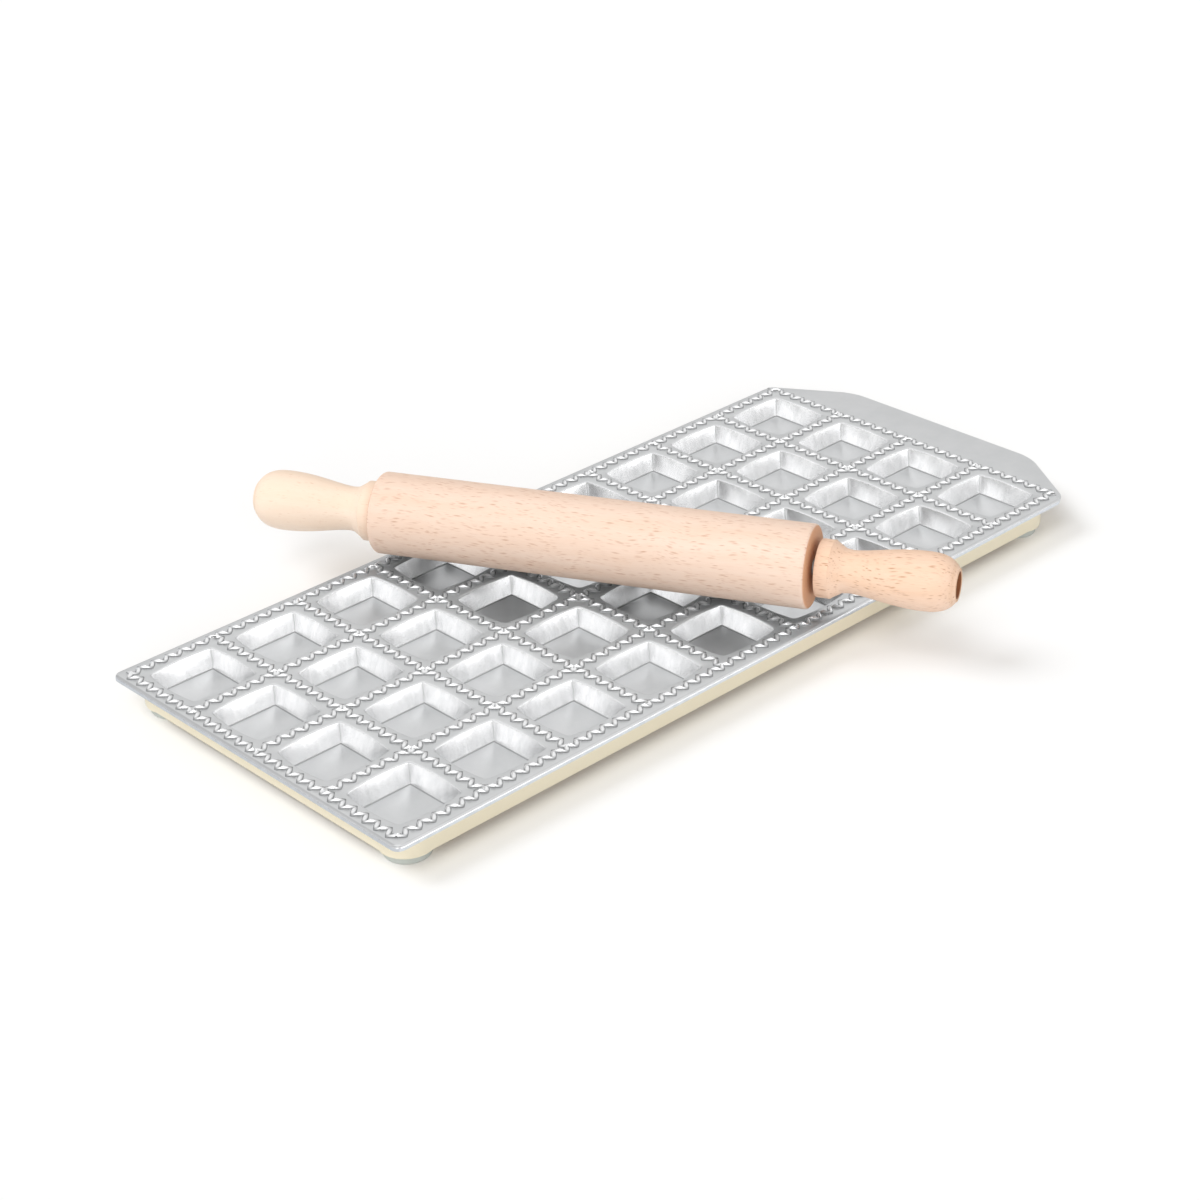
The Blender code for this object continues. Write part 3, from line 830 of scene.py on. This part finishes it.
def buildPlate():
    bm = bmesh.new()
    bm.verts.layers.float_vector.new("spot")
    inner = plateRim(bm)
    rim = [
        e for e in bm.edges
        if e.is_boundary and e not in inner and max(v.co.x for v in e.verts) < plate["tabStart"] + 0.1
    ]
    rings = pocketRings()
    mouth = mouthOutline(rings[0])
    for column in range(plate["cellsLong"]):
        for row in range(plate["cellsWide"]):
            middle = ((column + 0.5) * plate["cell"] - gridX, (row + 0.5) * plate["cell"] - gridY, 0.0)
            addMeshAt(bm, mouth, middle)
    bpy.data.meshes.remove(mouth)
    mouths = [f for f in bm.faces if len(f.verts) > 20 and f.calc_area() < plate["cell"] ** 2]
    loops = inner + [e for f in mouths for e in f.edges]
    bmesh.ops.triangle_fill(bm, use_beauty=True, use_dissolve=False, edges=loops, normal=(0, 0, 1))
    sinkPockets(bm, mouths, rings)
    rollLip(bm, rim)
    bmesh.ops.recalc_face_normals(bm, faces=bm.faces)
    if sum(f.normal.z for f in bm.faces) < 0:
        bmesh.ops.reverse_faces(bm, faces=bm.faces)
    bmesh.ops.solidify(bm, geom=bm.faces[:] + bm.edges[:] + bm.verts[:], thickness=plate["sheet"])
    addRidges(bm)
    bmesh.ops.translate(bm, vec=(0, 0, plate["face"]), verts=bm.verts)
    return addPiece(
        "pressed_plate", bm, mouldPlace, "mould", "die_plate", aluminium, sharp=50.0
    )


buildPlate()


# Plastic frame

skirt = {
    "halfX": 147.4,
    "halfY": 66.6,
    "corner": 8.0,
    "bottom": 2.9,
    "top": 11.9,
    "wall": 2.0,
    "edge": 0.7,
    "flangeX": 150.6,
    "flangeY": 69.2,
    "flangeCorner": 3.0,
    "flange": 1.05,
    "flangeWidth": 3.6,
    "flangeDown": 0.15,    # from the skirt's top to the flange's
    "padRadius": 8.6,
    "padTop": 4.9,
    "padRim": 1.0,
    "footX": 138.8,
    "footY": 58.0,
    "footSink": 1.0,
}


def footPlaces():
    sides = (-1, 1)
    return [(x * skirt["footX"], y * skirt["footY"]) for x in sides for y in sides]


# A closed ring of that wall, with a rounded rectangle outside and inside.
def hollowRing(bm, halfX, halfY, corner, bottom, top, wall):
    face = roundedFace(bm, halfX, halfY, corner, bottom)
    lid = bmesh.ops.extrude_face_region(bm, geom=[face])
    bmesh.ops.translate(bm, vec=(0, 0, top - bottom), verts=vertsOf(lid))
    ends = [face] + [g for g in lid["geom"] if isinstance(g, bmesh.types.BMFace)]
    bmesh.ops.inset_region(bm, faces=ends, thickness=wall, use_even_offset=True)
    inner = [e for f in ends for e in f.edges]
    bmesh.ops.delete(bm, geom=ends, context="FACES_ONLY")
    bmesh.ops.bridge_loops(bm, edges=inner)


def buildSkirt():
    bm = bmesh.new()
    hollowRing(
        bm, skirt["halfX"], skirt["halfY"], skirt["corner"], skirt["bottom"], skirt["top"], skirt["wall"]
    )
    outerFoot = [
        e for e in bm.edges
        if all(abs(v.co.z - skirt["bottom"]) < 1e-4 for v in e.verts)
        and any(abs(f.normal.z) < 0.5 for f in e.link_faces)
    ]
    bevelEdges(bm, outerFoot, skirt["edge"], 4)
    ring = bmesh.new()
    top = skirt["top"] - skirt["flangeDown"]
    under = top - skirt["flange"]
    hollowRing(
        ring, skirt["flangeX"], skirt["flangeY"], skirt["flangeCorner"], under, top, skirt["flangeWidth"]
    )
    joinInto(bm, ring)
    for x, y in footPlaces():
        joinInto(bm, footPad(x, y))
    return addPiece("frame_moulding", bm, mouldPlace, "mould", "base_frame", ivory)


def joinInto(bm, other):
    mesh = bpy.data.meshes.new("part")
    other.to_mesh(mesh)
    other.free()
    bm.from_mesh(mesh)
    bpy.data.meshes.remove(mesh)


def footPad(x, y):
    bm = bmesh.new()
    height = skirt["padTop"] - skirt["bottom"]
    middle = Matrix.Translation((x, y, skirt["bottom"] + height / 2))
    bmesh.ops.create_cone(
        bm,
        cap_ends=True,
        segments=48,
        radius1=skirt["padRadius"],
        radius2=skirt["padRadius"],
        depth=height,
        matrix=middle,
    )
    under = [f for f in bm.faces if f.normal.z < -0.9]
    bmesh.ops.inset_region(bm, faces=under, thickness=skirt["padRim"], use_even_offset=True)
    sunk = vertsOf(bmesh.ops.extrude_face_region(bm, geom=under))
    bmesh.ops.translate(bm, vec=(0, 0, skirt["footSink"]), verts=sunk)
    bmesh.ops.delete(bm, geom=under, context="FACES_ONLY")
    return bm


buildSkirt()


# Rubber feet

foot = {
    "radius": 7.3,
    "top": 3.6,
    "edge": 0.5,
    "topEdge": 0.2,
    "dish": 0.4,           # hollow in the underside
    "dishRim": 2.2,
}


def buildFoot(number, x, y):
    radius, top, edge = foot["radius"], foot["top"], foot["edge"]
    profile = [
        (0.0, foot["dish"]),
        (radius - foot["dishRim"] - foot["dish"], foot["dish"]),
        (radius - foot["dishRim"], 0.0),
        (radius - edge, 0.0),
        (radius - edge * 0.3, edge * 0.3),
        (radius, edge),
        (radius, top - foot["topEdge"]),
        (radius - foot["topEdge"], top),
        (0.0, top),
    ]
    bm = spun(profile, 64, closed=False)
    bmesh.ops.translate(bm, vec=(x, y, 0), verts=bm.verts)
    return addPiece(
        f"rubber_foot_{number}", bm, mouldPlace, "mould", f"foot_{number}", rubber, sharp=35.0
    )


for footNumber, (footX, footY) in enumerate(footPlaces(), start=1):
    buildFoot(footNumber, footX, footY)


# Rolling pin

barrel = {
    "radius": 13.9,
    "length": 150.4,
    "edge": 1.2,
    "bore": 2.8,
}


def buildBarrel():
    half = barrel["length"] / 2
    profile = [
        (barrel["bore"], -half),
        (barrel["radius"], -half),
        (barrel["radius"], half),
        (barrel["bore"], half),
    ]
    bm = spun(profile, 96)
    radius = barrel["radius"]
    level = levelEdges(bm, radius)
    rims = [e for e in level if abs(Vector(e.verts[1].co.xy).length - radius) < 1e-3]
    bevelEdges(bm, rims, barrel["edge"], 5)
    return addPiece("pin_barrel", bm, pinPlace, "pin_barrel", "barrel", barrelBeech)


handle = {
    "collar": 9.9,         # radius
    "collarLength": 4.8,
    "collarEdge": 0.5,
    "collarBack": 0.3,     # edge towards the neck
    "slope": 3.4,
    "collarFoot": 7.5,
    "neck": 7.25,
    "neckEase": 0.12,
    "neckAt": 10.5,
    "belly": 9.95,
    "bellyAt": 34.5,
    "swell": 0.8,
    "nose": 11.48,
    "noseFullness": 2.6,   # 2 is an ellipse
    "length": 45.2,
    "endEdge": 0.4,
    "recess": 4.4,         # radius
    "recessDepth": 9.0,
    "recessEdge": 0.25,
    "recessWall": 0.4,     # least wood round it
    "leftAt": 75.5,        # the collar's face, from the barrel's middle
    "rightAt": 77.2,
    "leftGirth": 1.03,     # hand-turned: one is a little fatter than the other
    "rightGirth": 0.965,
}


def handleRadius(along):
    if along < handle["bellyAt"]:
        share = ((along - handle["neckAt"]) / (handle["bellyAt"] - handle["neckAt"])) ** handle["swell"]
        return handle["neck"] + (handle["belly"] - handle["neck"]) * (1 - math.cos(math.pi * share)) / 2
    share = (along - handle["bellyAt"]) / handle["nose"]
    return handle["belly"] * (1 - share ** handle["noseFullness"]) ** (1 / handle["noseFullness"])


# The turned outside, from the collar over the belly to the rounded rim of the flat end.
def handleOutside():
    collar = handle["collar"]
    edge = handle["collarEdge"]
    back = handle["collarBack"]
    length = handle["length"]
    outside = [
        (collar - edge, 0.0),
        (collar - edge * 0.3, edge * 0.3),
        (collar, edge),
        (collar, handle["collarLength"] - back),
        (collar - back, handle["collarLength"]),
    ]
    slopeEnd = handle["collarLength"] + handle["slope"]
    drop = collar - back - handle["collarFoot"]
    for step in range(1, 5):
        share = step / 4
        outside.append((collar - back - drop * share, handle["collarLength"] + handle["slope"] * share))
    outside.append((handle["neck"] + handle["neckEase"], (slopeEnd + handle["neckAt"]) / 2))
    for step in range(20):
        along = handle["neckAt"] + (handle["bellyAt"] - handle["neckAt"]) * step / 20
        outside.append((handleRadius(along), along))
    last = length - handle["endEdge"]
    for step in range(15):
        along = handle["bellyAt"] + (last - handle["bellyAt"]) * step / 14
        outside.append((handleRadius(along), along))
    rim = handleRadius(last) - handle["endEdge"]
    outside.append((rim + handle["endEdge"] * 0.7, length - handle["endEdge"] * 0.3))
    outside.append((rim, length))
    return outside


# From the bore's mouth, over the outside at its girth, to the recess in the flat end.
def handleProfile(girth):
    bore = barrel["bore"]
    recess = handle["recess"]
    length = handle["length"]
    edge = handle["recessEdge"]
    least = recess + handle["recessWall"]
    outside = [(max(radius * girth, least), along) for radius, along in handleOutside()]
    seat = length - handle["recessDepth"]
    inside = [(recess + edge, length), (recess, length - edge), (recess, seat), (bore, seat)]
    return [(bore, 0.0)] + outside + inside


def buildHandle(name, girth, at, direction, body, node, finish):
    bm = spun(handleProfile(girth), 72)
    # painted shade: the recess's surfaces are marked to take the dark recess colour
    recessShaded = bm.verts.layers.float.new("recessShade")
    for vert in bm.verts:
        if Vector(vert.co.xy).length < handle["recess"] + 0.1:
            vert[recessShaded] = 1.0
    bmesh.ops.translate(bm, vec=(0, 0, at), verts=bm.verts)
    if direction < 0:
        bmesh.ops.rotate(bm, cent=(0, 0, 0), matrix=Matrix.Rotation(math.pi, 3, "X"), verts=bm.verts)
    return addPiece(name, bm, pinPlace, body, node, finish, sharp=35.0)


axle = {
    "radius": 2.5,
    "thread": 2.0,
    "threadDepth": 0.25,
    "pitch": 0.7,
    "stack": 5.4,          # from the recess's floor to the rod's end
    "washer": 4.0,
    "washerThick": 0.8,
    "washerEdge": 0.12,
    "nutFlats": 3.5,       # half the width across the flats
    "nutHeight": 3.0,
    "nutChamfer": 0.35,
    "hole": 2.3,
    "gap": 0.3,
}


# Threaded end beyond a handle's recess floor, as (radius, height).
def rodEnd(at):
    turns = int(axle["stack"] / axle["pitch"])
    points = [(axle["radius"], at)]
    for turn in range(turns):
        points.append((axle["thread"] - axle["threadDepth"], at + (turn + 0.25) * axle["pitch"]))
        points.append((axle["thread"], at + (turn + 0.75) * axle["pitch"]))
    points.append((axle["thread"] - axle["threadDepth"], at + axle["stack"]))
    points.append((0.0, at + axle["stack"]))
    return points


def buildAxle():
    seat = handle["length"] - handle["recessDepth"]
    left = rodEnd(handle["leftAt"] + seat)
    right = [(radius, -height) for radius, height in reversed(rodEnd(handle["rightAt"] + seat))]
    return addPiece(
        "axle", spun(right + left, 40, closed=False), pinPlace, "pin_axle", "axle_rod", steel
    )


def buildWasher(side, at, direction):
    low = at + handle["length"] - handle["recessDepth"] + axle["gap"]
    high = low + axle["washerThick"]
    profile = [(axle["hole"], low), (axle["washer"], low), (axle["washer"], high), (axle["hole"], high)]
    bm = spun([(radius, direction * height) for radius, height in profile], 48)
    bevelEdges(bm, levelEdges(bm, axle["washer"]), axle["washerEdge"], 2)
    return addPiece(
        f"end_washer_{side}", bm, pinPlace, "pin_axle", f"washer_{side}", steel
    )


def buildNut(side, at, direction):
    low = at + handle["length"] - handle["recessDepth"] + 2 * axle["gap"] + axle["washerThick"]
    high = low + axle["nutHeight"]
    flats = axle["nutFlats"]
    chamfer = axle["nutChamfer"]
    profile = [
        (axle["hole"], low),
        (flats, low),
        (flats, low + chamfer),
        (flats, high - chamfer),
        (flats, high),
        (axle["hole"], high),
    ]
    bm = spun([(radius, direction * height) for radius, height in profile], 48)
    inset = chamfer * 0.9
    for vert in bm.verts:
        around = Vector(vert.co.xy)
        if around.length > axle["hole"] + 0.1 and inset < abs(vert.co.z) - low < high - low - inset:
            # push the middle out from the round to the hexagon's flats and corners
            turn = (math.atan2(around.y, around.x) % (math.pi / 3)) - math.pi / 6
            vert.co.xy = around.normalized() * flats / math.cos(turn)
    return addPiece(
        f"hex_nut_{side}", bm, pinPlace, "pin_axle", f"nut_{side}", steel, sharp=25.0
    )


buildBarrel()
buildHandle("grip_left", handle["leftGirth"], handle["leftAt"], 1, "left_grip", "handle_left", leftBeech)
buildHandle(
    "grip_right", handle["rightGirth"], handle["rightAt"], -1, "right_grip", "handle_right", rightBeech
)
buildAxle()
for endSide, endAt, endDirection in (("left", handle["leftAt"], 1), ("right", handle["rightAt"], -1)):
    buildWasher(endSide, endAt, endDirection)
    buildNut(endSide, endAt, endDirection)


# Floor, light and camera

studio = {
    "floorSize": 12.0,
    "floorColour": (0.855, 0.89, 0.935),
    "floorLift": (0.14, 0.10, 0.05),   # added for the camera only
    "plain": 0.505,        # the world's light on matt surfaces
    "bandStrength": 2.6,
    "bands": (             # what gloss reflects, from the far horizon over the top to the near one
        (0.0, 0.21), (0.09, 0.23), (0.14, 0.35), (0.45, 0.37), (0.49, 0.62),
        (0.61, 0.62), (0.64, 0.06), (0.73, 0.06), (0.77, 0.86), (1.0, 0.86),
    ),
    "sides": (             # shares of the nearest band, from the right of the camera to its left
        (0.0, 1.0), (0.19, 1.0), (0.36, 0.32), (0.47, 0.32), (0.56, 0.62), (1.0, 0.53),
    ),
    "sidesFrom": (0.73, 0.79),
    "lamps": {             # side, spread in degrees, power
        "key": ((-1.0, 1.1, 1.7), 28.0, 0.98),
        "fill": ((-1.25, -0.4, 1.7), 32.0, 0.82),
        "front": ((-0.6, -0.9, 0.35), 40.0, 0.95),
    },
}


lens = {
    "place": (-0.51675, -0.55331, 0.4127),
    "heading": 47.548,     # degrees from +X
    "dip": 28.533,
    "roll": -2.138,
    "focal": 76.61,
    "sensor": 36.0,
}


def buildFloor():
    bm = bmesh.new()
    bmesh.ops.create_grid(bm, x_segments=1, y_segments=1, size=studio["floorSize"] / 2)
    mesh = bpy.data.meshes.new("floor")
    bm.to_mesh(mesh)
    bm.free()
    floor = bpy.data.objects.new("floor", mesh)
    bpy.context.scene.collection.objects.link(floor)
    finish, tree, shader = newMaterial("white floor")
    setInputs(shader, **{"Base Color": (*studio["floorColour"], 1.0), "Roughness": 0.9})
    shader.inputs["Specular IOR Level"].default_value = 0.0
    lightPath = addNode(tree, "ShaderNodeLightPath", -600, -300)
    shader.inputs["Emission Color"].default_value = (*studio["floorLift"], 1.0)
    joiner(tree)(lightPath, "Is Camera Ray", shader, "Emission Strength")
    mesh.materials.append(finish)


def shadeRamp(tree, x, y, shades):
    ramp = addNode(tree, "ShaderNodeValToRGB", x, y)
    stops = ramp.color_ramp.elements
    while len(stops) < len(shades):
        stops.new(0.5)
    for stop, (position, shade) in zip(stops, shades):
        stop.position = position
        stop.color = (shade, shade, shade, 1.0)
    return ramp


# White for the camera, plain light for matt surfaces, and bands of light and shade for gloss.
def buildWorld():
    world = bpy.data.worlds.new("studio")
    bpy.context.scene.world = world
    world.use_nodes = True
    tree = world.node_tree
    link = joiner(tree)
    background = tree.nodes["Background"]
    direction = addNode(tree, "ShaderNodeTexCoord", -1500, 0)
    turn = addNode(tree, "ShaderNodeMapping", -1300, 0, vector_type="VECTOR")
    setInputs(turn, Rotation=(0.0, 0.0, -math.radians(lens["heading"])))
    split = addNode(tree, "ShaderNodeSeparateXYZ", -1100, 0)
    angle = addMath(tree, -900, 0, "ARCTAN2")
    share = addMath(tree, -750, 0, "DIVIDE", math.pi)
    bands = shadeRamp(tree, -600, 0, studio["bands"])
    across = addRange(tree, -850, -250, (-1.0, 1.0))
    sides = shadeRamp(tree, -600, -300, studio["sides"])
    nearest = addRange(tree, -600, -550, studio["sidesFrom"])
    uneven = addMix(tree, -400, -300, "FLOAT", A=1.0)
    both = addMath(tree, -300, -100, "MULTIPLY")
    glow = addMath(tree, -250, 0, "MULTIPLY", studio["bandStrength"])
    lightPath = addNode(tree, "ShaderNodeLightPath", -700, 400)
    shiny = addMath(tree, -450, 350, "MAXIMUM")
    matt = addMix(tree, -200, 150, "FLOAT", A=studio["plain"])
    seen = addMix(tree, 0, 250, "FLOAT", B=1.0)
    link(direction, "Generated", turn, "Vector")
    link(turn, "Vector", split, "Vector")
    link(split, "Z", angle, 0)
    link(split, "X", angle, 1)
    link(angle, "Value", share, 0)
    link(share, "Value", bands, "Fac")
    link(split, "Y", across, "Value")
    link(across, "Result", sides, "Fac")
    link(share, "Value", nearest, "Value")
    link(nearest, "Result", uneven, "Factor")
    link(sides, "Color", uneven, "B")
    link(bands, "Color", both, 0)
    link(uneven, "Result", both, 1)
    link(both, "Value", glow, 0)
    link(lightPath, "Is Glossy Ray", shiny, 0)
    link(lightPath, "Is Transmission Ray", shiny, 1)
    link(shiny, "Value", matt, "Factor")
    link(glow, "Value", matt, "B")
    link(lightPath, "Is Camera Ray", seen, "Factor")
    link(matt, "Result", seen, "A")
    link(seen, "Result", background, "Strength")
    background.inputs["Color"].default_value = (1, 1, 1, 1)


# Light from one side, as from a broad soft panel a long way off.
def softLight(name, side, spread, power):
    data = bpy.data.lights.new(name, "SUN")
    data.angle = math.radians(spread)
    data.energy = power
    lamp = bpy.data.objects.new(name, data)
    bpy.context.scene.collection.objects.link(lamp)
    lamp.location = side
    lamp.rotation_euler = (-Vector(side)).to_track_quat("-Z", "Y").to_euler()
    lamp.visible_glossy = False


def buildCamera():
    data = bpy.data.cameras.new("camera")
    data.lens = lens["focal"]
    data.sensor_width = lens["sensor"]
    data.clip_end = 50.0
    camera = bpy.data.objects.new("camera", data)
    bpy.context.scene.collection.objects.link(camera)
    heading, dip, roll = (math.radians(lens[name]) for name in ("heading", "dip", "roll"))
    forward = Vector(
        (math.cos(heading) * math.cos(dip), math.sin(heading) * math.cos(dip), -math.sin(dip))
    )
    right = forward.cross(Vector((0, 0, 1))).normalized()
    up = right.cross(forward)
    turned = Matrix((
        right * math.cos(roll) + up * math.sin(roll),
        up * math.cos(roll) - right * math.sin(roll),
        -forward,
    )).transposed()
    camera.rotation_euler = turned.to_euler()
    camera.location = lens["place"]
    bpy.context.scene.camera = camera


buildFloor()
buildWorld()
for lampName, lampValues in studio["lamps"].items():
    softLight(lampName, *lampValues)
buildCamera()
bpy.context.scene.view_settings.view_transform = "Standard"
print("studio ready")
